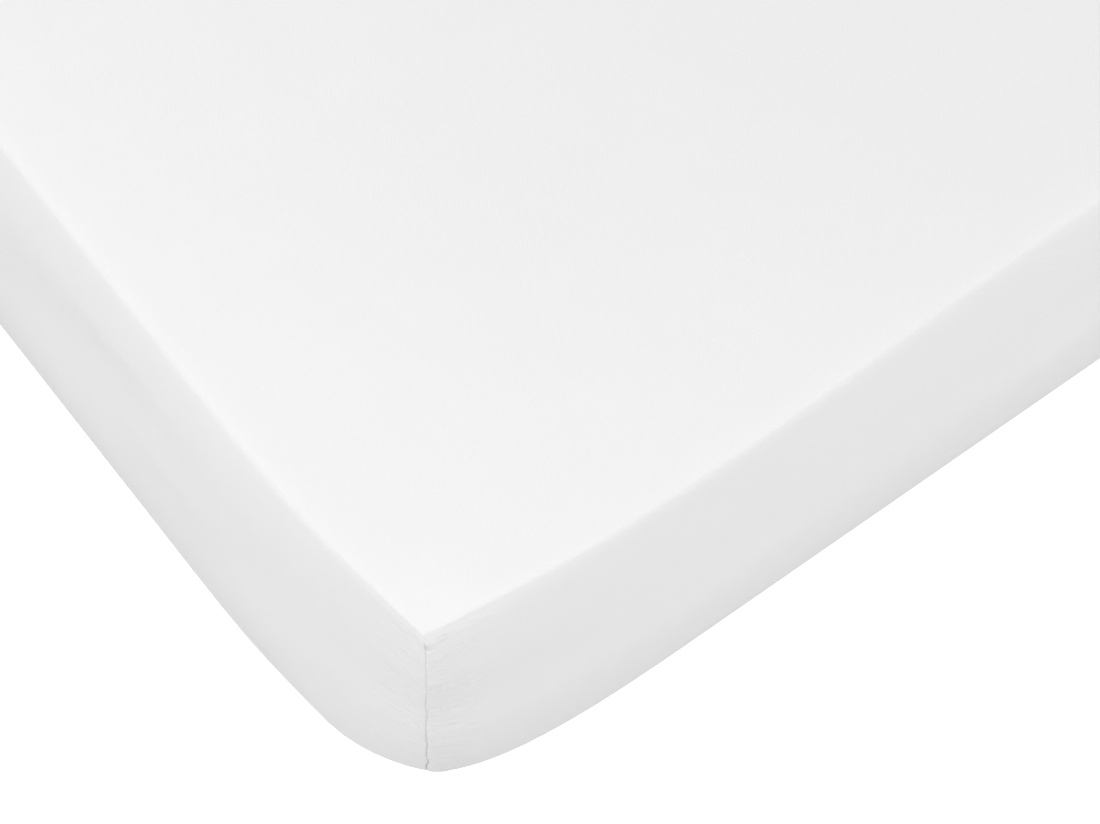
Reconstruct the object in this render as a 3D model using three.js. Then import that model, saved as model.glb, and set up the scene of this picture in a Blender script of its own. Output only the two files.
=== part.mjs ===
// A fitted mattress protector on the single mattress that it covers, in millimetres.
// +Z is up, +X runs along the bed, and the origin is on the floor under the middle of the mattress.
// The protector is one cloth: a top with four skirts, joined by an upright seam at each corner, and a hem
// turned over an elastic that draws it in under the mattress.

import * as THREE from 'three';
import { mergeVertices } from 'three/addons/utils/BufferGeometryUtils.js';

// Driving dimensions, over the cloth
const LENGTH = 2000;
const WIDTH = 900;
const HEIGHT = 200;

// The cloth and its hem
const CLOTH = 1.6;
const CASING = 4;
const TUCK = 100;
const CASING_WIDTH = 12;

// The mattress's own underside: how far it stands back over the hem, and where it comes down to the floor
const HEM_ROOM = 0.6;
const FOAM_TOE = 6;
const FOAM_FOOT = 34;

// How finely the outline is stepped, along a corner's curve each side of the seam and along the straight runs
const CORNER_STEPS = 5;
const SIDE_STEPS = 16;
const END_STEPS = 10;

// Creases fade out over this share of a corner's curve, so that both sides of a seam meet
const CREASE_ENDS = 0.5;

// Level outlines of the dressed mattress, from the flat top down to the hem.
// side and end are how far the outline stands in from the widest one, along the long sides and at the ends;
// turn is how far above level the cloth faces, in degrees; pull is how far a corner is drawn in each way;
// reach is where its curve meets the straight side; round is 0 for a square corner and 45 for a round one;
// lean is how far the seam stands off the corner's middle; slack is the room between cloth and foam.
const OUTLINES = [
  { side: 130, end: 130, height: HEIGHT, turn: 90, pull: 0, reach: 116, round: 0, lean: 0, slack: 0.4 },
  { side: 60, end: 60, height: HEIGHT - 0.2, turn: 89, pull: 5, reach: 116, round: 6, lean: 0, slack: 0.6 },
  { side: 26, end: 25, height: HEIGHT - 0.5, turn: 87, pull: 7.8, reach: 116, round: 10, lean: 0, slack: 1 },
  { side: 12, end: 10.3, height: HEIGHT - 0.9, turn: 80, pull: 8, reach: 116, round: 12, lean: 0, slack: 2 },
  { side: 7.6, end: 6, height: HEIGHT - 1.6, turn: 56, pull: 8.2, reach: 116, round: 12, lean: 0, slack: 2 },
  { side: 6, end: 4.6, height: HEIGHT - 3.2, turn: 26, pull: 9, reach: 116, round: 12, lean: 0, slack: 2 },
  { side: 5.2, end: 3.7, height: HEIGHT - 7, turn: 9, pull: 9, reach: 116, round: 13, lean: 0.5, slack: 2 },
  { side: 4.5, end: 2.8, height: 187, turn: 6, pull: 9.3, reach: 116, round: 13, lean: 1, slack: 2 },
  { side: 3.4, end: 1.5, height: 172, turn: 3, pull: 10, reach: 116, round: 15, lean: 1.4, slack: 2 },
  { side: 2.7, end: 0.9, height: 160, turn: 1, pull: 10.9, reach: 116, round: 18, lean: 1.6, slack: 3 },
  { side: 1.7, end: 1, height: 132, turn: 2, pull: 13.4, reach: 116, round: 25.5, lean: 1.2, slack: 3 },
  { side: 0.7, end: 0.5, height: 118, turn: 3, pull: 14.3, reach: 116, round: 29, lean: 1.2, slack: 3 },
  { side: 0, end: 0, height: 106, turn: 0, pull: 15, reach: 116, round: 32.5, lean: 1.3, slack: 3 },
  { side: 0.4, end: 0.2, height: 94, turn: -3, pull: 15.5, reach: 116, round: 35.5, lean: 1.6, slack: 3 },
  { side: 1.7, end: 0.8, height: 80, turn: -7, pull: 16, reach: 116, round: 39.5, lean: 2.1, slack: 2 },
  { side: 5, end: 3, height: 58, turn: -15, pull: 16.8, reach: 116, round: 45, lean: 2.5, slack: 2 },
  { side: 9.8, end: 6.6, height: 37, turn: -24, pull: 17.6, reach: 116, round: 45, lean: 2.9, slack: 2 },
  { side: 15, end: 11, height: 20, turn: -38, pull: 18.5, reach: 116, round: 45, lean: 2.8, slack: 2 },
  { side: 21.8, end: 17.2, height: 8, turn: -58, pull: 20, reach: 118, round: 45, lean: 2.6, slack: 1.6 },
  { side: 29.6, end: 24.2, height: 2, turn: -76, pull: 23, reach: 124, round: 45, lean: 2.4, slack: 1 },
  { side: 38.6, end: 33, height: 0, turn: -90, pull: 28, reach: 134, round: 45, lean: 2.2, slack: HEM_ROOM },
];

// The corners in the order that the outline passes them. before and after are the two sides that meet there,
// each pointing away from the corner, and lean scales how far the seam stands off its middle.
const CORNERS = [
  { x: -1, y: -1, before: [0, 1], after: [1, 0], lean: 1 },
  { x: 1, y: -1, before: [-1, 0], after: [0, 1], lean: -0.6 },
  { x: 1, y: 1, before: [0, -1], after: [-1, 0], lean: 0.4 },
  { x: -1, y: 1, before: [1, 0], after: [0, -1], lean: -0.9 },
];

// Soft troughs and ridges in the skirts. wall is the corner that a skirt runs on from, along its after side;
// along is from that corner to the middle of the crease, height its height there, rise how much it climbs in
// each millimetre along, length and width its half sizes, and depth is inwards, so that a ridge is below 0.
const CREASES = [
  { wall: 0, along: 140, height: 198, rise: 0, length: 60, width: 16, depth: -1.6 },
  { wall: 0, along: 640, height: 120, rise: 0.05, length: 220, width: 34, depth: 1.6 },
  { wall: 0, along: 1180, height: 130, rise: -0.04, length: 240, width: 30, depth: 1.5 },
  { wall: 0, along: 1700, height: 110, rise: 0.12, length: 150, width: 28, depth: 1.8 },
  { wall: 1, along: 230, height: 96, rise: 0.2, length: 130, width: 26, depth: 2 },
  { wall: 1, along: 650, height: 120, rise: -0.15, length: 140, width: 28, depth: 1.6 },
  { wall: 2, along: 260, height: 110, rise: 0.16, length: 150, width: 26, depth: 1.8 },
  { wall: 2, along: 820, height: 126, rise: -0.03, length: 260, width: 34, depth: 1.5 },
  { wall: 2, along: 1500, height: 118, rise: 0.06, length: 230, width: 30, depth: 1.6 },
  { wall: 3, along: 250, height: 120, rise: 0.1, length: 120, width: 28, depth: 1.4 },
  { wall: 3, along: 686, height: 106, rise: 0.5, length: 32, width: 20, depth: 5 },
  { wall: 3, along: 730, height: 132, rise: 0.3, length: 34, width: 22, depth: 4 },
  { wall: 3, along: 752, height: 98, rise: -0.6, length: 30, width: 18, depth: 3 },
  { wall: 3, along: 790, height: 99, rise: 0.85, length: 34, width: 16, depth: 2.2 },
  { wall: 3, along: 862, height: 30, rise: 0, length: 22, width: 45, depth: -1.3 },
];

// A point of a corner at share -1 to 1 of the way round it, as [distance along the side after, distance along
// the side before]. Each half is a cubic Bezier curve from the seam to its straight side. Its handles lie
// along the corner's own angle and along that side, and the seam stands off the middle by the lean.
function cornerPoint(outline, corner, share) {
  const { pull, reach } = outline;
  const angle = THREE.MathUtils.degToRad(outline.round);
  const lean = (share < 0 ? -1 : 1) * outline.lean * corner.lean;
  const seam = new THREE.Vector2(pull + lean, pull - lean);
  const span = reach - seam.x;
  const handle = Math.min(0.45 * span, (0.95 * (seam.y + 0.01)) / Math.max(Math.sin(angle), 1e-4));
  const curve = new THREE.CubicBezierCurve(
    seam,
    new THREE.Vector2(seam.x + handle * Math.cos(angle), seam.y - handle * Math.sin(angle)),
    new THREE.Vector2(reach - 0.35 * span, 0),
    new THREE.Vector2(reach, 0),
  );
  const point = curve.getPoint(Math.abs(share));
  return share < 0 ? [point.y, point.x] : [point.x, point.y];
}

// How far the creases press a skirt in, at a distance along it and a height.
function creaseDepth(wall, along, height) {
  return CREASES.filter((crease) => crease.wall === wall).reduce((sum, crease) => {
    const run = along - crease.along;
    const rise = height - crease.height - crease.rise * run;
    return sum + crease.depth * Math.exp(-((run / crease.length) ** 2) - (rise / crease.width) ** 2);
  }, 0);
}

// The outline as a ring of points, anticlockwise seen from above. Creases push a point in across its skirt.
function ring(outline) {
  const halfLength = LENGTH / 2 - outline.end;
  const halfWidth = WIDTH / 2 - outline.side;
  const points = [];
  CORNERS.forEach((corner, wall) => {
    const wallLength = 2 * (wall % 2 ? halfWidth : halfLength);
    const steps = wall % 2 ? END_STEPS : SIDE_STEPS;
    const place = (after, before, skirt, along, share = 1) => {
      const faded = THREE.MathUtils.smoothstep(share, 0, CREASE_ENDS);
      const inward = creaseDepth(skirt, along, outline.height) * faded;
      const axis = skirt === wall ? corner.before : corner.after;
      points.push(new THREE.Vector3(
        corner.x * halfLength + after * corner.after[0] + before * corner.before[0] + inward * axis[0],
        corner.y * halfWidth + after * corner.after[1] + before * corner.before[1] + inward * axis[1],
        outline.height,
      ));
    };
    const skirtBefore = (wall + 3) % 4;
    const lengthBefore = 2 * (wall % 2 ? halfLength : halfWidth);
    for (let step = -CORNER_STEPS; step < CORNER_STEPS; step += 1) {
      const [after, before] = cornerPoint(outline, corner, step / CORNER_STEPS);
      const share = Math.abs(step) / CORNER_STEPS;
      if (step < 0) place(after, before, skirtBefore, lengthBefore - before, share);
      else place(after, before, wall, after, share);
    }
    for (let step = 0; step < steps; step += 1) {
      const after = THREE.MathUtils.lerp(outline.reach, wallLength - outline.reach, step / steps);
      place(after, 0, wall, after);
    }
  });
  return points;
}

// The outline moved in across the cloth by a depth, which thickens a sheet or clears the foam from it.
function sunk(outline, depth) {
  const turn = THREE.MathUtils.degToRad(outline.turn);
  const inset = depth * Math.cos(turn);
  return {
    ...outline,
    side: outline.side + inset,
    end: outline.end + inset,
    height: outline.height - depth * Math.sin(turn),
  };
}

// A closed surface through rings of equally many points, from the one that the top closes to the one that the
// underside closes. Each of the two is closed by a fan of triangles round its own middle.
function bodyOf(rings) {
  const count = rings[0].length;
  const middles = [rings[0], rings.at(-1)].map((points) => new THREE.Vector3(0, 0, points[0].z));
  const positions = [...rings.flat(), ...middles].flatMap((point) => point.toArray());
  const topMiddle = rings.length * count;
  const index = [];
  for (let step = 0; step < count; step += 1) {
    const next = (step + 1) % count;
    const last = (rings.length - 1) * count;
    index.push(topMiddle, step, next, topMiddle + 1, last + next, last + step);
    for (let level = 0; level < last; level += count) {
      const [a, b, c, d] = [level + step, level + next, level + count + step, level + count + next];
      index.push(a, c, b, b, c, d);
    }
  }
  const geometry = new THREE.BufferGeometry();
  geometry.setAttribute('position', new THREE.Float32BufferAttribute(positions, 3));
  geometry.setIndex(index);
  return mergeVertices(geometry, 1e-4);
}

// The hem: the cloth lies flat under the mattress to the casing that holds the elastic.
function hemOutlines() {
  const lying = OUTLINES.at(-1);
  const drawnIn = { ...lying, pull: 52, reach: 190 };
  return [
    { ...drawnIn, side: TUCK - CASING_WIDTH - 2, end: TUCK - CASING_WIDTH - 2, thick: CLOTH },
    { ...drawnIn, side: TUCK - CASING_WIDTH, end: TUCK - CASING_WIDTH, thick: CASING },
    { ...drawnIn, side: TUCK, end: TUCK, pull: 56, reach: 200, thick: CASING },
  ];
}

// The protector: the outer face of the cloth from the top to the hem, then the inner face back up.
function protectorGeometry() {
  const outer = [...OUTLINES, ...hemOutlines()];
  const inner = outer.map((outline) => sunk(outline, outline.thick ?? CLOTH));
  return bodyOf([...outer.map(ring), ...inner.reverse().map(ring)]);
}

// The foam mattress: it follows the inside of the cloth, stands back over the hem and rests on the floor.
function mattressGeometry() {
  const within = OUTLINES.map((outline) => sunk(outline, CLOTH + outline.slack));
  const [, casing, edge] = hemOutlines();
  const overCasing = CASING + HEM_ROOM;
  const underside = [
    { ...casing, side: casing.side - FOAM_TOE, end: casing.end - FOAM_TOE, height: CLOTH + HEM_ROOM },
    { ...casing, side: casing.side - 3, end: casing.end - 3, height: overCasing },
    { ...edge, side: edge.side + FOAM_TOE, end: edge.end + FOAM_TOE, height: overCasing },
    { ...edge, side: edge.side + FOAM_FOOT, end: edge.end + FOAM_FOOT, height: 0 },
  ];
  return bodyOf([...within, ...underside].map(ring));
}

const clothFinish = new THREE.MeshStandardMaterial({ color: 0xf2f2f2, roughness: 0.9, metalness: 0 });
const tickingFinish = new THREE.MeshStandardMaterial({ color: 0xe8e6e0, roughness: 0.95, metalness: 0 });

const protector = new THREE.Mesh(protectorGeometry(), clothFinish);
protector.name = 'protector';

const mattress = new THREE.Mesh(mattressGeometry(), tickingFinish);
mattress.name = 'mattress';

const dressedMattress = new THREE.Group();
dressedMattress.add(mattress, protector);

export default dressedMattress;
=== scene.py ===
"""A white fitted mattress protector stretched over a single mattress, on a pale floor.

Lengths in the tables are in millimetres and everything in Blender is in metres. +X runs along the bed, +Z is
up, and the origin is on the floor under the middle of the mattress.
"""

from collections import namedtuple

import bpy
import numpy as np
from bpy.props import FloatProperty, FloatVectorProperty, PointerProperty
from mathutils import Matrix, Vector


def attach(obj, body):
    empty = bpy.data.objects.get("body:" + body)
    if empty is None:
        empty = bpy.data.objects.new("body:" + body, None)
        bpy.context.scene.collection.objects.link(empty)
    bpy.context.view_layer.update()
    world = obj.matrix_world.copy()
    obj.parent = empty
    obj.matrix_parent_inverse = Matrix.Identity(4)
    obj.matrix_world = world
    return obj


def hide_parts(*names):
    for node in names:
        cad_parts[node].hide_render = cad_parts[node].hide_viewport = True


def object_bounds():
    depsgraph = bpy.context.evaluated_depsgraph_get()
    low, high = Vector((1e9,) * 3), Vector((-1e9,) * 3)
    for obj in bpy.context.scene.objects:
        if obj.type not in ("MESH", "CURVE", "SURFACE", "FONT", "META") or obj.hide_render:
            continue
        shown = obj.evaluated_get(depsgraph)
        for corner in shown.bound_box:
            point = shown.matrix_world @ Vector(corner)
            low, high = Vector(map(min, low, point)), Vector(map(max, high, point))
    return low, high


bl_info = {
    "name": "Fitted mattress protector",
    "version": (1, 0, 0),
    "blender": (4, 5, 0),
    "location": "3D View > Sidebar > Bedding",
    "description": "Builds a fitted mattress protector on its mattress",
    "category": "Object",
}

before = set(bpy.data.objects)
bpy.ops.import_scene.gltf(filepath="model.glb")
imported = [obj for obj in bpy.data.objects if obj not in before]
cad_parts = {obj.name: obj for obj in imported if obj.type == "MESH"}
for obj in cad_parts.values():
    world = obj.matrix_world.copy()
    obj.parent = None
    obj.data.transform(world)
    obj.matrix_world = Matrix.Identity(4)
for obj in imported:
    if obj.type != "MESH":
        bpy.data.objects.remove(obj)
CAD_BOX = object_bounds()
CAD_SIZE = [round(high - low, 3) for low, high in zip(*CAD_BOX)]
MM = 0.001

# Level outlines of the dressed mattress, from the flat top down to the turned hem.
# side and end: how far the outline stands in from the widest one, along the long sides and at the ends.
# height: above the floor, for a mattress 200 deep. pull: how far a corner is drawn in each way.
# reach: where its curve meets the straight side. round: 0 for a square corner and 45 for a round one.
# lean: how far the seam stands to one side of the corner's middle. steps: rows of mesh down to the next one.
Outline = namedtuple("Outline", "side end height pull reach round lean steps")
CLOTH = (
    Outline(300, 300, 200.0, 0, 116, 0, 0, 1),
    Outline(210, 210, 200.0, 0, 116, 0, 0, 1),
    Outline(130, 130, 200.0, 0, 116, 0, 0, 3),
    Outline(60, 60, 199.8, 5, 116, 6, 0, 3),
    Outline(26, 25, 199.5, 7.8, 116, 10, 0, 3),
    Outline(12, 10.3, 199.1, 8, 116, 12, 0, 3),
    Outline(7.6, 6, 198.4, 8.2, 116, 12, 0, 3),
    Outline(6, 4.6, 196.8, 9, 116, 12, 0, 3),
    Outline(5.2, 3.7, 193.0, 9, 116, 13, 0.5, 3),
    Outline(4.5, 2.8, 187.0, 9.3, 116, 13, 1.0, 5),
    Outline(3.4, 1.5, 172.0, 10, 116, 15, 1.4, 5),
    Outline(2.7, 0.9, 160.0, 10.9, 116, 18, 1.6, 10),
    Outline(1.7, 1.0, 132.0, 13.4, 116, 25.5, 1.2, 5),
    Outline(0.7, 0.5, 118.0, 14.3, 116, 29, 1.2, 5),
    Outline(0, 0, 106.0, 15, 116, 32.5, 1.3, 5),
    Outline(0.4, 0.2, 94.0, 15.5, 116, 35.5, 1.6, 5),
    Outline(1.7, 0.8, 80.0, 16, 116, 39.5, 2.1, 7),
    Outline(5.0, 3.0, 58.0, 16.8, 116, 45, 2.5, 7),
    Outline(9.8, 6.6, 37.0, 17.6, 116, 45, 2.9, 6),
    Outline(15, 11.0, 20.0, 18.5, 116, 45, 2.8, 4),
    Outline(21.8, 17.2, 8.0, 20, 118, 45, 2.6, 3),
    Outline(29.6, 24.2, 2.0, 23, 124, 45, 2.4, 2),
    Outline(38.6, 33, 0, 28, 134, 45, 2.2, 2),
    Outline(59, 57, 0, 40, 158, 45, 2, 2),
    Outline(76, 76, 0, 48, 178, 45, 2, 3),
    Outline(88, 88, 0, 52, 190, 45, 2, 2),
    Outline(98.6, 98.6, 0.3, 55.6, 199, 45, 2, 1),
    Outline(100, 100, 1.7, 56, 200, 45, 2, 1),
    Outline(98.6, 98.6, 3.1, 55.6, 199, 45, 2, 2),
    Outline(87, 87, 3.2, 52, 190, 45, 2, 1),
)
# The rows of CLOTH where the gathered hem starts, and where it folds back over the elastic.
HEM_ROW = 22
FOLD_ROW = 27

# The mattress inside the cloth, from its flat top to the middle of its underside.
FOAM = (
    Outline(300, 300, 198.4, 0, 116, 0, 0, 1),
    Outline(130, 130, 198.4, 0, 116, 0, 0, 2),
    Outline(60, 60, 197.8, 5, 116, 6, 0, 2),
    Outline(26.8, 25.2, 197.2, 7.8, 116, 10, 0, 2),
    Outline(12.2, 10.9, 196.2, 8, 116, 12, 0, 2),
    Outline(9.5, 8.2, 195.4, 8.2, 116, 12, 0, 2),
    Outline(8.8, 7.4, 194.0, 9, 116, 12, 0, 2),
    Outline(8.5, 7.0, 191.0, 9, 116, 13, 0.5, 2),
    Outline(7.9, 6.2, 186.0, 9.3, 116, 13, 1.0, 2),
    Outline(6.9, 5.0, 172.0, 10, 116, 15, 1.4, 2),
    Outline(6.3, 4.5, 160.0, 10.9, 116, 18, 1.6, 3),
    Outline(5.3, 4.6, 132.0, 13.4, 116, 25.5, 1.2, 2),
    Outline(4.3, 4.1, 118.0, 14.3, 116, 29, 1.2, 2),
    Outline(3.6, 3.6, 106.0, 15, 116, 32.5, 1.3, 2),
    Outline(4.0, 3.9, 94.0, 15.5, 116, 35.5, 1.6, 2),
    Outline(5.4, 4.5, 80.0, 16, 116, 39.5, 2.1, 3),
    Outline(8.5, 6.5, 59.0, 16.8, 116, 45, 2.5, 3),
    Outline(13.1, 9.9, 38.5, 17.6, 116, 45, 2.9, 3),
    Outline(17.8, 13.8, 22.2, 18.5, 116, 45, 2.8, 2),
    Outline(23.5, 18.9, 10.8, 20, 118, 45, 2.6, 2),
    Outline(30.3, 24.9, 4.6, 23, 124, 45, 2.4, 2),
    Outline(40.6, 36, 2.4, 28, 134, 45, 2.4, 2),
    Outline(57, 55, 6.5, 40, 158, 45, 2, 2),
    Outline(76, 76, 9, 48, 178, 45, 2, 2),
    Outline(108, 108, 9, 56, 204, 45, 2, 2),
    Outline(122, 122, 4, 60, 215, 45, 2, 2),
    Outline(136, 136, 0, 64, 226, 45, 2, 2),
    Outline(300, 300, 0, 64, 226, 45, 2, 1),
)


# The corners in the order that an outline passes them: the sides before and after it point away from it, and
# lean scales how far the seam stands off its middle.
Corner = namedtuple("Corner", "x y before after lean")
CORNERS = (
    Corner(-1, -1, (0, 1), (1, 0), 1.0),
    Corner(1, -1, (-1, 0), (0, 1), -0.6),
    Corner(1, 1, (0, -1), (-1, 0), 0.4),
    Corner(-1, 1, (1, 0), (0, -1), -0.9),
)

# Soft troughs and ridges in the skirts. wall: the corner that the skirt runs on from. along: from that corner
# to the middle of the crease. rise: how much it climbs in each millimetre along. length and width: its half
# sizes. depth: inwards, so a ridge is below 0.
Crease = namedtuple("Crease", "wall along height rise length width depth")
CREASES = (
    Crease(0, 140, 198, 0, 60, 16, -1.6),
    Crease(0, 101, 108, 0, 12, 11, -0.6),
    Crease(0, 127, 109, 0, 14, 11, -0.5),
    Crease(0, 262, 110, 0.1, 36, 14, -1.2),
    Crease(0, 640, 120, 0.05, 220, 34, 1.6),
    Crease(0, 1180, 130, -0.04, 240, 30, 1.5),
    Crease(0, 1700, 110, 0.12, 150, 28, 1.8),
    Crease(1, 230, 96, 0.2, 130, 26, 2.0),
    Crease(1, 650, 120, -0.15, 140, 28, 1.6),
    Crease(2, 260, 110, 0.16, 150, 26, 1.8),
    Crease(2, 820, 126, -0.03, 260, 34, 1.5),
    Crease(2, 1500, 118, 0.06, 230, 30, 1.6),
    Crease(3, 250, 120, 0.1, 120, 28, 1.4),
    Crease(3, 686, 106, 0.5, 32, 20, 5.0),
    Crease(3, 730, 132, 0.3, 34, 22, 4.0),
    Crease(3, 752, 98, -0.6, 30, 18, 3.0),
    Crease(3, 790, 99, 0.85, 34, 16, 2.2),
    Crease(3, 814, 50, 0, 12, 12, 1.6),
    Crease(3, 843, 126, -3.3, 10, 22, -1.0),
    Crease(3, 856, 30, 0, 24, 45, -3.4),
)

# Creases fade out over this share of a corner's curve, so that both sides of a seam meet.
CREASE_ENDS = 0.5

# Where the mesh has its columns round a corner, as shares of the curve away from the seam.
SEAM_SHARES = (0.002, 0.005, 0.01, 0.022, 0.042, 0.052, 0.064, 0.09, 0.125, 0.17, 0.225, 0.29, 0.365, 0.45)
SEAM_SHARES += (0.545, 0.65, 0.76, 0.88)
FOAM_SHARES = (0.04, 0.1, 0.18, 0.28, 0.4, 0.54, 0.7, 0.86)

# The seams' relief starts at this height and is whole this far below it.
SEAM_TOP = 198.0
SEAM_GROWS = 3.0
# The half width of a seam's valley.
VALLEY_WIDTH = 0.4
# The seam allowance: how far the doubled cloth reaches under the side after the corner, how high it stands
# and how softly it ends.
ALLOWANCE = 6.0
ALLOWANCE_STEP = 0.28
ALLOWANCE_EDGE = 0.7
# Puckers that the seams' thread gathers. reach: how far they go off the seam. apart: down it. shift: how many
# times over their uneven beat moves them.
Pucker = namedtuple("Pucker", "height reach apart shift")
PUCKERS = (
    Pucker(0.1, 9, 12.5, 1),
    Pucker(0.2, 24, 31, 2),
)
# How far the top dips towards the seams, how far that reaches from each corner's tip, how far the tips stand
# in from the widest outline, and the share of the depth below which nothing dips.
CORNER_DIP = 3.2
DIP_REACH = 15.0
TIP_INSET = 14.5
DIP_ENDS = 0.8
# The gathers under the mattress start this far in from the widest outline and are whole this much further in.
GATHERS_START = 46.0
GATHERS_GROW = 44.0
# A corner's first handle where its columns stand at their shares.
EVEN_HANDLE = 40.0

# The floor, in millimetres: its corners in turn, half its width, and its top, a hair below the cloth. Then
# how strongly it is lit from behind for the cloth, and how much more for the camera.
SQUARE = ((-1, -1), (1, -1), (1, 1), (-1, 1))
FLOOR_HALF = 40000.0
FLOOR_TOP = -0.3
FLOOR_GLOW = 0.236
FLOOR_SEEN = 0.6

# Light and camera, in metres: the room's even light, soft boxes as name, place, size across and power, all
# aimed at one point, and the camera's place, looking down along azimuth and elevation with a small roll.
ROOM_LIGHT = 0.373
LAMPS_AIM = Vector((-0.75, -0.3, 0.15))
LAMPS = (
    ("Low soft box off the near end", (-1.99, -0.3, 0.81), 0.8, 8.9),
    ("Low soft box off the near side", (-0.75, -1.54, 0.81), 0.8, 5.4),
    ("Broad soft box down the near side", (1.25, -2.3, 1.65), 1.6, 35.3),
    ("Broad soft box over the far side", (-0.75, 1.76, 2.6), 1.6, 36.8),
)
LOOK_AT = Vector((-0.91151, -0.39957, 0.2))
LOOK_ANGLES = (42.0, 66.887, 5.456)
LOOK_FROM = 2.4703
LENS = 261.82


def table(rows):
    """The rows of a named table as columns of numbers."""
    return {name: np.array([getattr(row, name) for row in rows], float) for name in rows[0]._fields}


def eased(rows):
    """Rows of a section table, eased into a smooth run of outlines.

    Each column is a cubic from row to row. Its slope at a row is the harmonic mean of the slopes on both
    sides, and 0 where they have opposite signs, so no column overshoots. Rows are spaced by the square root
    of the distance between them, and each gap is cut into the steps that its upper row names.
    """
    columns = table(rows)
    values = np.stack([columns[name] for name in Outline._fields if name != "steps"])
    gaps = np.sqrt(np.hypot(np.diff(values[:2].mean(axis=0)), np.diff(values[2])))
    rise = np.diff(values) / gaps
    before, after = rise[:, :-1], rise[:, 1:]
    weights = 2 * gaps[1:] + gaps[:-1], gaps[1:] + 2 * gaps[:-1]
    same = before * after > 0
    safe = [np.where(same, side, 1.0) for side in (before, after)]
    slope = np.zeros_like(values)
    slope[:, 1:-1] = np.where(same, sum(weights) / (weights[0] / safe[0] + weights[1] / safe[1]), 0.0)
    slope[:, 0], slope[:, -1] = rise[:, 0], rise[:, -1]
    steps = columns["steps"][:-1].astype(int)
    row = np.repeat(np.arange(len(steps)), steps)
    share = np.concatenate([np.arange(count) / count for count in steps])
    row, share = np.append(row, len(steps) - 1), np.append(share, 1.0)
    start, finish = values[:, row], values[:, row + 1]
    lead, tail = slope[:, row] * gaps[row], slope[:, row + 1] * gaps[row]
    smooth = share * share * (3 - 2 * share)
    bent = (
        start * (1 - smooth)
        + finish * smooth
        + lead * share * (1 - share) ** 2
        - tail * share * share * (1 - share)
    )
    return dict(zip(Outline._fields, bent))


def round_the_corner(level, place, lean):
    """Points of a corner's curve at places -1 to 1 round it, as distances along its two sides, the one that
    the place is on first.

    A cubic Bezier curve runs from the seam, at (pull + lean, pull - lean), to (reach, 0). Its first handle
    leaves at the corner's own angle, and its second lies along the straight side. Close to the seam a place
    is scaled by the handle, share * (even handle / handle) ^ ((1 - share) ^ 4), so that columns run along the
    seam.
    """
    pull, reach = level["pull"][:, None], level["reach"][:, None]
    angle = np.radians(level["round"])[:, None]
    lean = np.where(place < 0, -lean, lean)
    span = reach - pull - lean
    handle = np.minimum(0.45 * span, 0.95 * (pull - lean + 0.01) / np.maximum(np.sin(angle), 1e-4))
    share = np.abs(place)
    share = share * (EVEN_HANDLE / handle) ** ((1 - share) ** 4)
    left = 1 - share
    near = (
        left**3 * (pull + lean)
        + 3 * left**2 * share * (pull + lean + handle * np.cos(angle))
        + 3 * left * share**2 * (reach - 0.35 * span)
        + share**3 * reach
    )
    far = left**3 * (pull - lean) + 3 * left**2 * share * (pull - lean - handle * np.sin(angle))
    return near, far


def pressed_in(wall, along, height):
    """How far the creases press a skirt in: the sum of their bells, each
    depth * exp(-(run / length)^2 - (rise / width)^2)."""
    depth = np.zeros(np.broadcast(along, height).shape)
    for crease in CREASES:
        run = along - crease.along
        rise = height - crease.height - crease.rise * run
        bell = np.exp(-((run / crease.length) ** 2) - (rise / crease.width) ** 2)
        depth += np.where(wall == crease.wall, crease.depth * bell, 0.0)
    return depth


def columns_round(shares, long_steps, short_steps):
    """The mesh's columns round the bed, as a corner's number and a place: -1 to 1 round its curve, then 1 to
    2 along the straight run to the next corner."""
    half = np.array(shares)
    curve = np.concatenate([[-1.0], -half[::-1], [0.0], half])
    runs = [np.append(curve, 1 + np.arange(steps) / steps) for steps in (long_steps, short_steps)]
    corner = np.concatenate([np.full(len(runs[number % 2]), number) for number in range(4)])
    return corner, np.concatenate([runs[number % 2] for number in range(4)])


def split_columns(columns, parts):
    """Columns with each gap cut into equal parts: place + (next place - place) * k / parts."""
    corner, place = columns
    ahead = np.roll(place, -1)
    gap = np.where(ahead < place, 2.0, ahead) - place
    finer = place[:, None] + gap[:, None] * np.arange(parts) / parts
    return np.repeat(corner, parts), finer.ravel()


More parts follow.
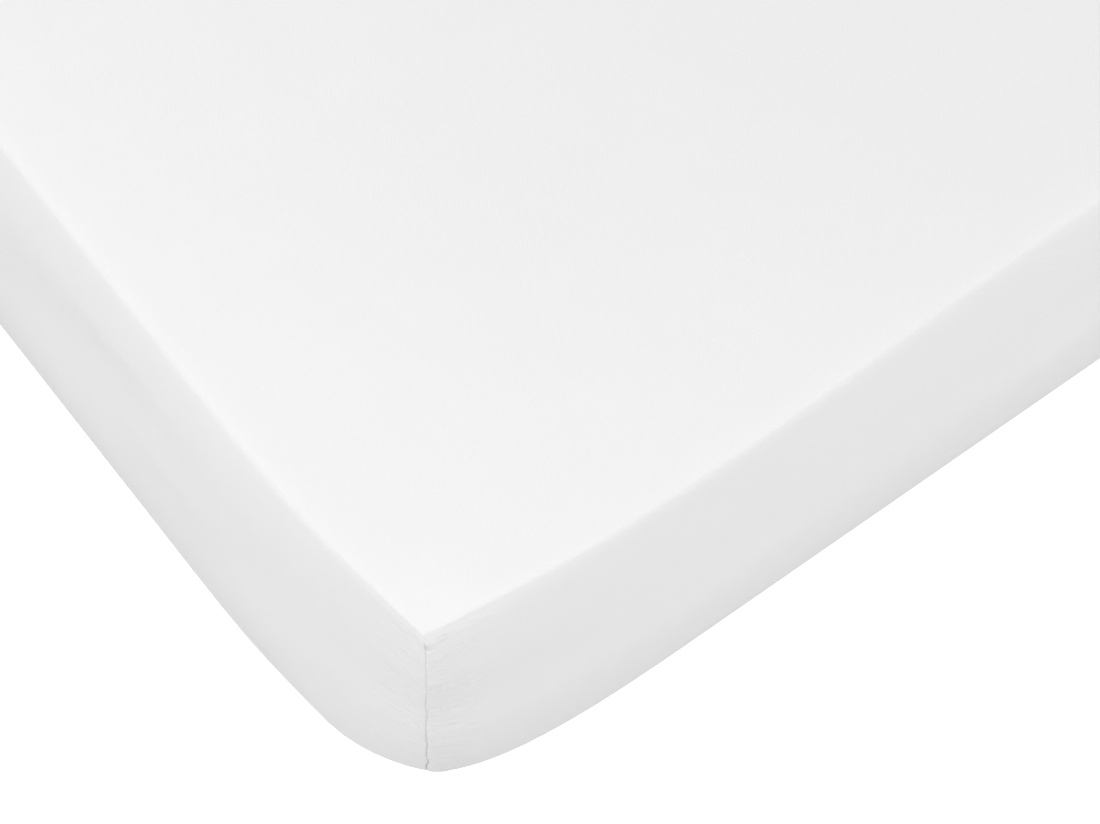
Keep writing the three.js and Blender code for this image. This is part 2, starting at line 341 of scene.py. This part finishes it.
def shell(level, columns, size, wander=0.0):
    """Points of the outlines at the columns, in millimetres, and the skirt that each column belongs to.

    Each outline is a rectangle that stands in by side and end, with a curve at each corner and straight runs
    between them: corner + ahead * (side after) + behind * (side before). The creases push each point in
    across its own skirt, and fade out towards the seams. Wander moves each seam a little to one side of its
    line. The cloth dips over each top corner, by dip * exp(-(distance / reach)^2).
    """
    corner, place = columns
    turn, run = np.minimum(place, 1.0), np.maximum(place - 1.0, 0.0)
    signs = np.array([[each.x, each.y] for each in CORNERS], float)[corner]
    before = np.array([each.before for each in CORNERS], float)[corner]
    after = np.array([each.after for each in CORNERS], float)[corner]
    lean = np.array([each.lean for each in CORNERS], float)[corner]
    length, width, depth = size
    height = level["height"][:, None] * depth / 200
    half_length = length / 2 - level["end"][:, None]
    half_width = width / 2 - level["side"][:, None]
    reach = level["reach"][:, None]
    near, far = round_the_corner(level, turn, level["lean"][:, None] * lean + wander)
    ahead, behind = np.where(turn < 0, far, near), np.where(turn < 0, near, far)
    odd = corner % 2 == 1
    skirt_length = 2 * np.where(odd, half_width, half_length)
    last_length = 2 * np.where(odd, half_length, half_width)
    ahead = np.where(turn < 1, ahead, reach + run * (skirt_length - 2 * reach))
    behind = np.where(turn < 1, behind, 0.0)
    skirt = np.where(turn < 0, (corner + 3) % 4, corner)
    along = np.where(turn < 0, last_length - behind, ahead)
    faded = np.minimum(np.abs(turn) / CREASE_ENDS, 1.0)
    inward = pressed_in(skirt, along, height) * faded * faded * (3 - 2 * faded)
    across = np.where((turn < 0)[:, None], after, before)
    plan = np.stack([half_length * signs[:, 0], half_width * signs[:, 1]], axis=-1)
    plan = plan + ahead[..., None] * after + behind[..., None] * before + inward[..., None] * across
    tips = signs * (np.array([length, width]) / 2 - TIP_INSET)
    near_tip = np.exp(-(((plan - tips) ** 2).sum(axis=-1)) / DIP_REACH**2)
    dip = CORNER_DIP * near_tip * np.clip((height / depth - DIP_ENDS) / (1 - DIP_ENDS), 0, 1)
    return np.dstack([plan, height - dip]), skirt


def outward(points):
    """Unit normals of a closed band: the direction down it crossed with the direction round it."""
    round_it = [np.roll(points, -1, axis=1) - points, points - np.roll(points, 1, axis=1)]
    round_it = sum(step / np.maximum(np.linalg.norm(step, axis=-1, keepdims=True), 1e-9) for step in round_it)
    normal = np.cross(np.gradient(points, axis=0), round_it)
    return normal / np.maximum(np.linalg.norm(normal, axis=-1, keepdims=True), 1e-9)


def run_length(points):
    """Distance travelled along the first axis of an array of points."""
    steps = np.linalg.norm(np.diff(points, axis=0), axis=-1)
    return np.concatenate([np.zeros((1,) + steps.shape[1:]), np.cumsum(steps, axis=0)])


def from_the_seam(points, columns):
    """Each point's distance from its own corner's seam, and how far down that seam it lies."""
    corner, place = columns
    seams = points[:, np.flatnonzero(place == 0)]
    return np.linalg.norm(points - seams[:, corner], axis=-1), run_length(seams)[:, corner]


def sewn(points, columns, height, depth):
    """The corner seams' relief, along the normal: a narrow valley where the two edges of cloth turn in, deep
    as given, the low step of the allowance under one side, and puckers that the thread gathers, which fade
    within a finger's width of it. Also each point's distance from its seam, that distance below 0 on the side
    before the corner, and how far down the seam it lies, with a metre between one seam's part of the pattern
    and the next."""
    corner, place = columns
    gap, drop = from_the_seam(points, columns)
    started = np.clip((SEAM_TOP - height[:, None]) / SEAM_GROWS, 0, 1)
    valley = -depth * np.exp(-((gap / VALLEY_WIDTH) ** 2))
    step = np.where(place > 0, ALLOWANCE_STEP, 0.0) * 0.5 * (1 - np.tanh((gap - ALLOWANCE) / ALLOWANCE_EDGE))
    beat = 1.7 * corner + 1.6 * np.sin(drop / 23)
    puckers = sum(
        each.height * np.exp(-gap / each.reach) * np.sin(2 * np.pi * drop / each.apart + each.shift * beat)
        for each in PUCKERS
    )
    side = np.where(place < 0, -gap, gap)
    return started * (valley + step + puckers), gap + 100 * (1 - started), side, drop + 1000 * corner


def wandering(height):
    """How far each seam wanders to one side down the skirts, in millimetres, a column of numbers: a sine of
    the height with an uneven beat, growing from nothing under the top edge."""
    swing = 0.24 * np.sin(height / 3.7 + 1.4 * np.sin(height / 29))
    return (swing * np.clip((190 - height) / 120, 0, 1))[:, None]


def gathered(points, level, height):
    """How far the elastic's gathers lift the cloth that lies under the mattress, and the way round the hem:
    whole numbers of waves, of uneven length, growing from nothing at the bottom roll to their height at the
    hem."""
    way = run_length(points[-1])
    angle = 2 * np.pi * way / (way[-1] + np.linalg.norm(points[-1, 0] - points[-1, -1]))
    waves = 0.5 + 0.5 * np.sin(168 * angle + 3 * np.sin(5 * angle) + 2.2 * np.sin(13 * angle))
    waves *= 0.62 + 0.38 * np.sin(61 * angle + 2 * np.sin(7 * angle))
    under = np.clip((level["side"] - GATHERS_START) / GATHERS_GROW, 0, 1)
    grown = (under * (level["height"] < 20))[:, None]
    return height * grown**1.5 * waves, way


def faces_between(upper, lower):
    """Faces from a ring of vertices to the next one down, where the lower has a whole number of times as many
    as the upper: (upper, lower..., next lower, next upper), which faces out where rings run anticlockwise."""
    parts = len(lower) // len(upper)
    below = lower[(np.arange(len(upper))[:, None] * parts + np.arange(parts + 1)) % len(lower)]
    return np.column_stack([upper, below, np.roll(upper, -1)])


def faces_of(grid):
    """The faces of a closed band of vertices, one row of the grid to each ring."""
    upper, lower = grid[:-1], grid[1:]
    corners = np.stack([upper, lower, np.roll(lower, -1, axis=1), np.roll(upper, -1, axis=1)], axis=-1)
    return corners.reshape(-1, 4)


def lay_mesh(name, points, faces):
    """A smooth mesh object from points in millimetres and arrays of faces, one for each count of corners."""
    mesh = bpy.data.meshes.new(name)
    corners = np.concatenate([block.ravel() for block in faces])
    totals = np.concatenate([np.full(len(block), block.shape[1]) for block in faces])
    mesh.vertices.add(len(points))
    mesh.vertices.foreach_set("co", (points * MM).ravel())
    mesh.loops.add(len(corners))
    mesh.loops.foreach_set("vertex_index", corners)
    mesh.polygons.add(len(totals))
    mesh.polygons.foreach_set("loop_start", np.cumsum(totals) - totals)
    mesh.polygons.foreach_set("use_smooth", np.ones(len(totals), bool))
    mesh.update(calc_edges=True)
    if mesh.validate():
        raise RuntimeError(f"{name} has broken faces")
    made = bpy.data.objects.new(name, mesh)
    bpy.context.scene.collection.objects.link(made)
    return made


def map_cut(made, faces, by_end, side_place, end_place):
    """The flat cut as a UV map, in metres. A skirt along the bed reads its vertices' places on the side's
    part of the cut and a skirt across it those on the end's part, so the thread runs true down each."""
    corners = np.concatenate([block.ravel() for block in faces])
    ends = np.concatenate([np.repeat(flags, block.shape[1]) for flags, block in zip(by_end, faces)])
    place = np.where(ends[:, None], end_place[corners], side_place[corners])
    made.data.uv_layers.new(name="cut").data.foreach_set("uv", (place * MM).ravel())


def remember(made, name, values):
    """Keeps a length for each vertex, in metres, for the finish to read."""
    attribute = made.data.attributes.new(name, "FLOAT", "POINT")
    attribute.data.foreach_set("value", (values * MM).astype(np.float32))


def linear(code):
    """An sRGB hex colour as linear red, green and blue: ((c + 0.055) / 1.055) ^ 2.4 above the dark end."""
    shades = np.array([int(code[at : at + 2], 16) for at in (0, 2, 4)]) / 255
    bright = ((shades + 0.055) / 1.055) ** 2.4
    return tuple(np.where(shades <= 0.04045, shades / 12.92, bright).tolist())


def add(tree, kind, inputs=None, **settings):
    """Adds a node with its settings. Each input is a value, or a socket to link it to."""
    made = tree.nodes.new(kind)
    for name, value in settings.items():
        setattr(made, name, value)
    for name, value in (inputs or {}).items():
        if isinstance(value, bpy.types.NodeSocket):
            tree.links.new(value, made.inputs[name])
        else:
            made.inputs[name].default_value = value
    return made


def new_finish(name):
    """An empty material with its node tree and output node."""
    material = bpy.data.materials.new(name)
    material.use_nodes = True
    tree = material.node_tree
    tree.nodes.clear()
    return material, tree, add(tree, "ShaderNodeOutputMaterial")


def thread_lattice(tree, place, across, down):
    """A woven relief from 0 to 1: one sine across the cloth times one down it, at the threads' spacings."""
    apart = add(tree, "ShaderNodeSeparateXYZ", {"Vector": place}).outputs
    waves = []
    for socket, spacing in ((apart["X"], across), (apart["Y"], down)):
        angle = add(tree, "ShaderNodeMath", {0: socket, 1: 2 * np.pi / spacing}, operation="MULTIPLY")
        waves.append(add(tree, "ShaderNodeMath", {0: angle.outputs[0]}, operation="SINE").outputs[0])
    both = add(tree, "ShaderNodeMath", {0: waves[0], 1: waves[1]}, operation="MULTIPLY")
    lifted = add(tree, "ShaderNodeMath", {0: both.outputs[0], 1: 0.5, 2: 0.5}, operation="MULTIPLY_ADD")
    return lifted.outputs[0]


def product(tree, one, other):
    """One value times another."""
    return add(tree, "ShaderNodeMath", {0: one, 1: other}, operation="MULTIPLY").outputs[0]


def distance_from(tree, length, offset):
    """How far a length lies from an offset, either way: |length - offset|."""
    less = add(tree, "ShaderNodeMath", {0: length, 1: offset}, operation="SUBTRACT")
    return add(tree, "ShaderNodeMath", {0: less.outputs[0]}, operation="ABSOLUTE").outputs[0]


def fading(tree, length, near, far, **settings):
    """1 up to the near length, falling to 0 at the far one."""
    span = {"Value": length, "From Min": near, "From Max": far, "To Min": 1.0, "To Max": 0.0}
    return add(tree, "ShaderNodeMapRange", span, **settings).outputs[0]


def fine_puckers(tree, gap, side, drop):
    """Fine puckers that lie across the seam, 2 to 3 mm apart down it and 6 mm long, and fade out along the
    skirt."""
    spread = add(tree, "ShaderNodeCombineXYZ", {"X": side, "Y": drop})
    drawn = add(tree, "ShaderNodeMapping", {"Vector": spread.outputs[0], "Scale": (160.0, 380.0, 1.0)})
    lines = add(tree, "ShaderNodeTexNoise", {"Vector": drawn.outputs[0], "Scale": 1.0, "Detail": 2.5})
    nearby = fading(tree, gap, 0.0, 0.035, interpolation_type="SMOOTHSTEP")
    return product(tree, lines.outputs["Fac"], nearby)


def overlocked_edge(tree, gap, side, drop):
    """The overlocked edge of the seam allowance: it shows through as short raised dashes, 6 mm off the
    seam."""
    loops = add(tree, "ShaderNodeTexNoise", {"W": drop, "Scale": 95.0, "Detail": 0.0}, noise_dimensions="1D")
    raised = {"Value": loops.outputs["Fac"], "From Min": 0.5, "From Max": 0.62}
    dashes = add(tree, "ShaderNodeMapRange", raised)
    band = fading(tree, distance_from(tree, side, ALLOWANCE * MM), 0.0006, 0.0022)
    beside = add(tree, "ShaderNodeMath", {0: gap, 1: 2 * ALLOWANCE * MM}, operation="LESS_THAN")
    return product(tree, product(tree, dashes.outputs[0], band), beside.outputs[0])


def hem_stitches(tree, hem, way):
    """Two rows of machine stitching that hold the elastic in the hem: dashes of 2.6 mm every 3.4 mm."""
    beat = add(tree, "ShaderNodeMath", {0: way, 1: 0.0034}, operation="DIVIDE")
    dash = add(tree, "ShaderNodeMath", {0: beat.outputs[0]}, operation="FRACT")
    sewn_on = add(tree, "ShaderNodeMath", {0: dash.outputs[0], 1: 0.76}, operation="LESS_THAN")
    rows = []
    for offset in (0.0025, 0.0105):
        away = distance_from(tree, hem, offset)
        rows.append(add(tree, "ShaderNodeMath", {0: away, 1: 0.0005}, operation="LESS_THAN").outputs[0])
    either = add(tree, "ShaderNodeMath", {0: rows[0], 1: rows[1]}, operation="MAXIMUM")
    return product(tree, either.outputs[0], sewn_on.outputs[0])


def seam_thread_and_shadow(tree, gap, side, drop):
    """The dark line down each seam where the cloth's two edges meet: the thread, and a painted shadow of the
    gap between the edges. It is a line a third of a millimetre wide, which wavers from stitch to stitch,
    starts faintly at the top and is painted darker lower down."""
    waver = add(tree, "ShaderNodeTexNoise", {"W": drop, "Scale": 130.0, "Detail": 1.0}, noise_dimensions="1D")
    sway = {0: waver.outputs["Fac"], 1: 0.0005, 2: side}
    moved = add(tree, "ShaderNodeMath", sway, operation="MULTIPLY_ADD")
    line = fading(tree, distance_from(tree, moved.outputs[0], 0.00025), 0.00005, 0.00024)
    close = add(tree, "ShaderNodeMath", {0: gap, 1: 0.004}, operation="LESS_THAN")
    down = add(tree, "ShaderNodeMath", {0: drop, 1: 1.0}, operation="MODULO")
    # Painted shadow: the seam's line is drawn darker lower down each seam.
    darker = add(
        tree,
        "ShaderNodeMapRange",
        {"Value": down.outputs[0], "From Min": 0.42, "From Max": 0.56, "To Min": 0.25, "To Max": 0.7},
    )
    return product(tree, product(tree, line, darker.outputs[0]), close.outputs[0])


def white_jersey(colour):
    """Bleached polyester jersey on a thin waterproof film: matt, white, very smooth, with a soft bloom."""
    material, tree, output = new_finish("White polyester jersey")
    cut = add(tree, "ShaderNodeUVMap", uv_map="cut").outputs["UV"]
    gap, side, drop, hem, way = (
        add(tree, "ShaderNodeAttribute", attribute_name=name).outputs["Fac"]
        for name in ("seam_gap", "seam_side", "seam_drop", "hem_gap", "hem_way")
    )
    # The stitches are real loops of 0.4 mm, drawn at 1.1 mm so that they show as a faint grain.
    knit = thread_lattice(tree, cut, 0.0011, 0.0013)
    # Broad softness, and finer dimples the width of a thumb: the cloth doesn't lie dead flat on the foam.
    slack = add(tree, "ShaderNodeTexNoise", {"Vector": cut, "Scale": 13.0, "Detail": 2.0, "Roughness": 0.5})
    dimples = add(tree, "ShaderNodeTexNoise", {"Vector": cut, "Scale": 48.0, "Detail": 1.0, "Roughness": 0.4})
    # The reliefs one over the other, each a height and how much of a metre it stands.
    normal = {}
    for height, distance in (
        (knit, 0.00003),
        (slack.outputs["Fac"], 0.0011),
        (dimples.outputs["Fac"], 0.00022),
        (fine_puckers(tree, gap, side, drop), 0.0009),
        (overlocked_edge(tree, gap, side, drop), 0.0003),
        (hem_stitches(tree, hem, way), 0.00024),
    ):
        relief = {"Strength": 1.0, "Distance": distance, "Height": height, **normal}
        normal = {"Normal": add(tree, "ShaderNodeBump", relief).outputs["Normal"]}
    # The colour drifts by a hundredth or two at random. It darkens in the seams' lines, where the thread and
    # a painted shadow of each seam's gap are drawn.
    cloudy = add(tree, "ShaderNodeTexNoise", {"Vector": cut, "Scale": 7.0, "Detail": 3.0})
    tint = add(
        tree,
        "ShaderNodeMix",
        {0: cloudy.outputs["Fac"], 6: (*colour, 1), 7: (*(0.97 * shade for shade in colour), 1)},
        data_type="RGBA",
    )
    # Painted shadow: each seam's gap, with its thread, is drawn at three tenths of the cloth's colour.
    shown = add(
        tree,
        "ShaderNodeMix",
        {
            0: seam_thread_and_shadow(tree, gap, side, drop),
            6: tint.outputs[2],
            7: (*(0.3 * shade for shade in colour), 1),
        },
        data_type="RGBA",
    )
    cloth = add(
        tree,
        "ShaderNodeBsdfPrincipled",
        {
            "Base Color": shown.outputs[2],
            "Roughness": 0.88,
            "Specular IOR Level": 0.25,
            "Sheen Weight": 0.12,
            "Sheen Roughness": 0.6,
            **normal,
        },
    )
    tree.links.new(cloth.outputs[0], output.inputs["Surface"])
    return material


def woven_ticking(colour):
    """Plain off-white cotton ticking, a close twill over the foam: matt, with its diagonal just showing."""
    material, tree, output = new_finish("Off-white cotton ticking")
    place = add(tree, "ShaderNodeTexCoord").outputs["Object"]
    turned = add(tree, "ShaderNodeMapping", {"Vector": place, "Rotation": (0.0, 0.0, 0.6)}).outputs[0]
    # The twill's ribs are 0.6 mm apart and drawn at 1.5 mm, with the weft across them.
    twill = thread_lattice(tree, turned, 0.0015, 0.006)
    ribs = add(tree, "ShaderNodeBump", {"Strength": 0.7, "Distance": 0.00015, "Height": twill})
    worn = add(tree, "ShaderNodeTexNoise", {"Vector": place, "Scale": 9.0, "Detail": 4.0})
    tint = add(
        tree,
        "ShaderNodeMix",
        {0: worn.outputs["Fac"], 6: (*colour, 1), 7: (*(0.9 * shade for shade in colour), 1)},
        data_type="RGBA",
    )
    cloth = add(
        tree,
        "ShaderNodeBsdfPrincipled",
        {
            "Base Color": tint.outputs[2],
            "Roughness": 0.9,
            "Specular IOR Level": 0.25,
            "Sheen Weight": 0.08,
            "Normal": ribs.outputs["Normal"],
        },
    )
    tree.links.new(cloth.outputs[0], output.inputs["Surface"])
    return material


def pale_floor(colour):
    """Matt white studio board, with the faint unevenness of a rolled coat of paint. It is lit from behind, so
    it shows a clean white with only a trace of shadow, and sends less than that back up to the cloth."""
    material, tree, output = new_finish("White studio board")
    place = add(tree, "ShaderNodeTexCoord").outputs["Object"]
    rolled = add(tree, "ShaderNodeTexNoise", {"Vector": place, "Scale": 60.0, "Detail": 2.0})
    coat = add(tree, "ShaderNodeBump", {"Strength": 0.2, "Distance": 0.0001, "Height": rolled.outputs["Fac"]})
    seen = add(tree, "ShaderNodeLightPath").outputs["Is Camera Ray"]
    glow = add(tree, "ShaderNodeMath", {0: seen, 1: FLOOR_SEEN, 2: FLOOR_GLOW}, operation="MULTIPLY_ADD")
    board = add(
        tree,
        "ShaderNodeBsdfPrincipled",
        {
            "Base Color": (*colour, 1),
            "Roughness": 0.95,
            "Specular IOR Level": 0.1,
            "Emission Color": (1.0, 1.0, 1.0, 1.0),
            "Emission Strength": glow.outputs[0],
            "Normal": coat.outputs["Normal"],
        },
    )
    tree.links.new(board.outputs[0], output.inputs["Surface"])
    return material


class BeddingSizes(bpy.types.PropertyGroup):
    """Sizes over the cloth, and of what is sewn."""

    length: FloatProperty(name="Length", description="Along the bed", default=CAD_SIZE[0], unit="LENGTH")
    width: FloatProperty(name="Width", description="Across the bed", default=CAD_SIZE[1], unit="LENGTH")
    depth: FloatProperty(name="Depth", description="Floor to top", default=CAD_SIZE[2], unit="LENGTH")
    cloth: FloatProperty(name="Cloth", description="Thickness of the cloth", default=0.001, unit="LENGTH")
    valley: FloatProperty(name="Seam", description="Depth of a seam's valley", default=0.0003, unit="LENGTH")
    gathers: FloatProperty(name="Gathers", description="Height at the hem", default=0.0036, unit="LENGTH")


class BeddingColours(bpy.types.PropertyGroup):
    """Colours of the cloth, the mattress and the floor."""

    cloth: FloatVectorProperty(
        name="Cloth", description="White jersey", subtype="COLOR", size=3, default=linear("E3E3E3")
    )
    ticking: FloatVectorProperty(
        name="Ticking", description="Mattress's cover", subtype="COLOR", size=3, default=linear("E6E3DB")
    )
    floor: FloatVectorProperty(
        name="Floor", description="Studio board", subtype="COLOR", size=3, default=linear("B4B4B4")
    )


class BEDDING_OT_protector(bpy.types.Operator):
    """Makes the fitted protector: one cloth with four sewn corners and a gathered hem over elastic"""

    bl_idname = "bedding.protector"
    bl_label = "Fitted protector"

    def execute(self, context):
        sizes, colours = context.scene.bedding_sizes, context.scene.bedding_colours
        size = [side / MM for side in (sizes.length, sizes.width, sizes.depth)]
        level = eased(CLOTH)
        first = sum(row.steps for row in CLOTH[:HEM_ROW])
        fold = sum(row.steps for row in CLOTH[:FOLD_ROW])
        to_side, to_end = (
            half - level[side][0] + run_length(np.column_stack([level[side], level["height"]]))
            for half, side in ((size[1] / 2, "side"), (size[0] / 2, "end"))
        )
        coarse = columns_round(SEAM_SHARES, 64, 24)
        parts = []
        for columns, rows in ((coarse, slice(0, first)), (split_columns(coarse, 4), slice(first, None))):
            points, skirt = shell(level, columns, size, wandering(level["height"]))
            relief, gap, aside, drop = sewn(points, columns, level["height"], sizes.valley / MM)
            lift, way = gathered(points, level, sizes.gathers / MM)
            points = points + relief[..., None] * outward(points)
            points[..., 2] = np.maximum(points[..., 2], 0) + lift
            side_place = np.stack([points[..., 0], np.sign(points[..., 1]) * to_side[:, None]], axis=-1)
            end_place = np.stack([np.sign(points[..., 0]) * to_end[:, None], points[..., 1]], axis=-1)
            hem = np.broadcast_to(np.abs(to_side - to_side[fold])[:, None], gap.shape)
            facts = (points, side_place, end_place, gap, aside, drop, hem, np.broadcast_to(way, gap.shape))
            parts.append([fact[rows] for fact in facts] + [skirt % 2 == 1])
        skirt_rows, hem_rows = (part[0].shape[:2] for part in parts)
        count = skirt_rows[0] * skirt_rows[1]
        upper = np.arange(count).reshape(skirt_rows)
        lower = count + np.arange(hem_rows[0] * hem_rows[1]).reshape(hem_rows)
        faces = [upper[:1], faces_of(upper), faces_between(upper[-1], lower[0]), faces_of(lower)]
        by_end = [
            np.zeros(1, bool),
            np.tile(parts[0][-1], len(upper) - 1),
            parts[0][-1],
            np.tile(parts[1][-1], len(lower) - 1),
        ]
        points, side_place, end_place, *lengths = (
            np.concatenate([fact.reshape((-1,) + fact.shape[2:]) for fact in pair])
            for pair in zip(*(part[:-1] for part in parts))
        )
        made = lay_mesh("protector_cloth", points, faces)
        map_cut(made, faces, by_end, side_place, end_place)
        for name, values in zip(("seam_gap", "seam_side", "seam_drop", "hem_gap", "hem_way"), lengths):
            remember(made, name, values)
        thick = made.modifiers.new("Thickness of the cloth", "SOLIDIFY")
        thick.thickness, thick.offset = sizes.cloth, -1.0
        made.data.materials.append(white_jersey(tuple(colours.cloth)))
        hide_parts("protector")
        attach(made, "root")
        return {"FINISHED"}


class BEDDING_OT_mattress(bpy.types.Operator):
    """Makes the foam mattress in its plain ticking"""

    bl_idname = "bedding.mattress"
    bl_label = "Mattress"

    def execute(self, context):
        sizes, colours = context.scene.bedding_sizes, context.scene.bedding_colours
        size = [side / MM for side in (sizes.length, sizes.width, sizes.depth)]
        points, _ = shell(eased(FOAM), columns_round(FOAM_SHARES, 34, 14), size)
        grid = np.arange(points.shape[0] * points.shape[1]).reshape(points.shape[:2])
        made = lay_mesh("mattress_block", points.reshape(-1, 3), [grid[:1], faces_of(grid), grid[-1:, ::-1]])
        made.data.materials.append(woven_ticking(tuple(colours.ticking)))
        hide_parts("mattress")
        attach(made, "root")
        return {"FINISHED"}


class BEDDING_OT_stage(bpy.types.Operator):
    """Lays the pale floor, lights it softly and sets up the camera over the near corner"""

    bl_idname = "bedding.stage"
    bl_label = "Floor, light and camera"

    def execute(self, context):
        scene = context.scene
        board = np.array([(x * FLOOR_HALF, y * FLOOR_HALF, FLOOR_TOP) for x, y in SQUARE])
        floor = lay_mesh("studio_floor", board, [np.array([[0, 1, 2, 3]])])
        floor.data.materials.append(pale_floor(tuple(scene.bedding_colours.floor)))
        world = bpy.data.worlds.new("Soft white room")
        world.use_nodes = True
        room = world.node_tree.nodes["Background"]
        room.inputs["Color"].default_value = (1.0, 1.0, 1.0, 1.0)
        room.inputs["Strength"].default_value = ROOM_LIGHT
        scene.world = world
        for name, place, side, power in LAMPS:
            data = bpy.data.lights.new(name, "AREA")
            data.shape, data.size, data.energy = "DISK", side, power
            lamp = bpy.data.objects.new(name, data)
            lamp.location = place
            lamp.visible_camera = False
            lamp.rotation_mode = "QUATERNION"
            lamp.rotation_quaternion = (LAMPS_AIM - Vector(place)).to_track_quat("-Z", "Y")
            scene.collection.objects.link(lamp)
        azimuth, elevation, roll = (np.radians(angle) for angle in LOOK_ANGLES)
        forward = np.array(
            [np.sin(azimuth) * np.cos(elevation), np.cos(azimuth) * np.cos(elevation), -np.sin(elevation)]
        )
        level = np.array([np.cos(azimuth), -np.sin(azimuth), 0.0])
        upright = np.cross(level, forward)
        right = np.cos(roll) * level + np.sin(roll) * upright
        up = np.cos(roll) * upright - np.sin(roll) * level
        data = bpy.data.cameras.new("Over the near corner")
        data.sensor_width, data.lens = 36.0, LENS
        data.clip_start, data.clip_end = 0.05, 100.0
        camera = bpy.data.objects.new("Over the near corner", data)
        turned = Matrix(np.column_stack([right, up, -forward]).tolist()).to_4x4()
        camera.matrix_world = Matrix.Translation(LOOK_AT - LOOK_FROM * Vector(forward)) @ turned
        scene.collection.objects.link(camera)
        scene.camera = camera
        scene.view_settings.view_transform = "Standard"
        scene.view_settings.look = "None"
        return {"FINISHED"}


class BEDDING_PT_panel(bpy.types.Panel):
    """The sizes, the colours and the buttons that make each piece"""

    bl_idname = "BEDDING_PT_panel"
    bl_label = "Fitted protector"
    bl_space_type = "VIEW_3D"
    bl_region_type = "UI"
    bl_category = "Bedding"

    def draw(self, context):
        for group in (context.scene.bedding_sizes, context.scene.bedding_colours):
            column = self.layout.column(align=True)
            for name in group.__annotations__:
                column.prop(group, name)
        for operator in (BEDDING_OT_mattress, BEDDING_OT_protector, BEDDING_OT_stage):
            self.layout.operator(operator.bl_idname)


CLASSES = (
    BeddingSizes,
    BeddingColours,
    BEDDING_OT_mattress,
    BEDDING_OT_protector,
    BEDDING_OT_stage,
    BEDDING_PT_panel,
)


def register():
    """Adds the classes and the scene's two groups of settings."""
    for each in CLASSES:
        bpy.utils.register_class(each)
    bpy.types.Scene.bedding_sizes = PointerProperty(type=BeddingSizes)
    bpy.types.Scene.bedding_colours = PointerProperty(type=BeddingColours)


def unregister():
    """Takes them out again."""
    del bpy.types.Scene.bedding_colours
    del bpy.types.Scene.bedding_sizes
    for each in reversed(CLASSES):
        bpy.utils.unregister_class(each)


def main():
    """Makes the stage and both pieces."""
    register()
    bpy.ops.bedding.stage()
    bpy.ops.bedding.mattress()
    bpy.ops.bedding.protector()


if __name__ == "__main__":
    main()
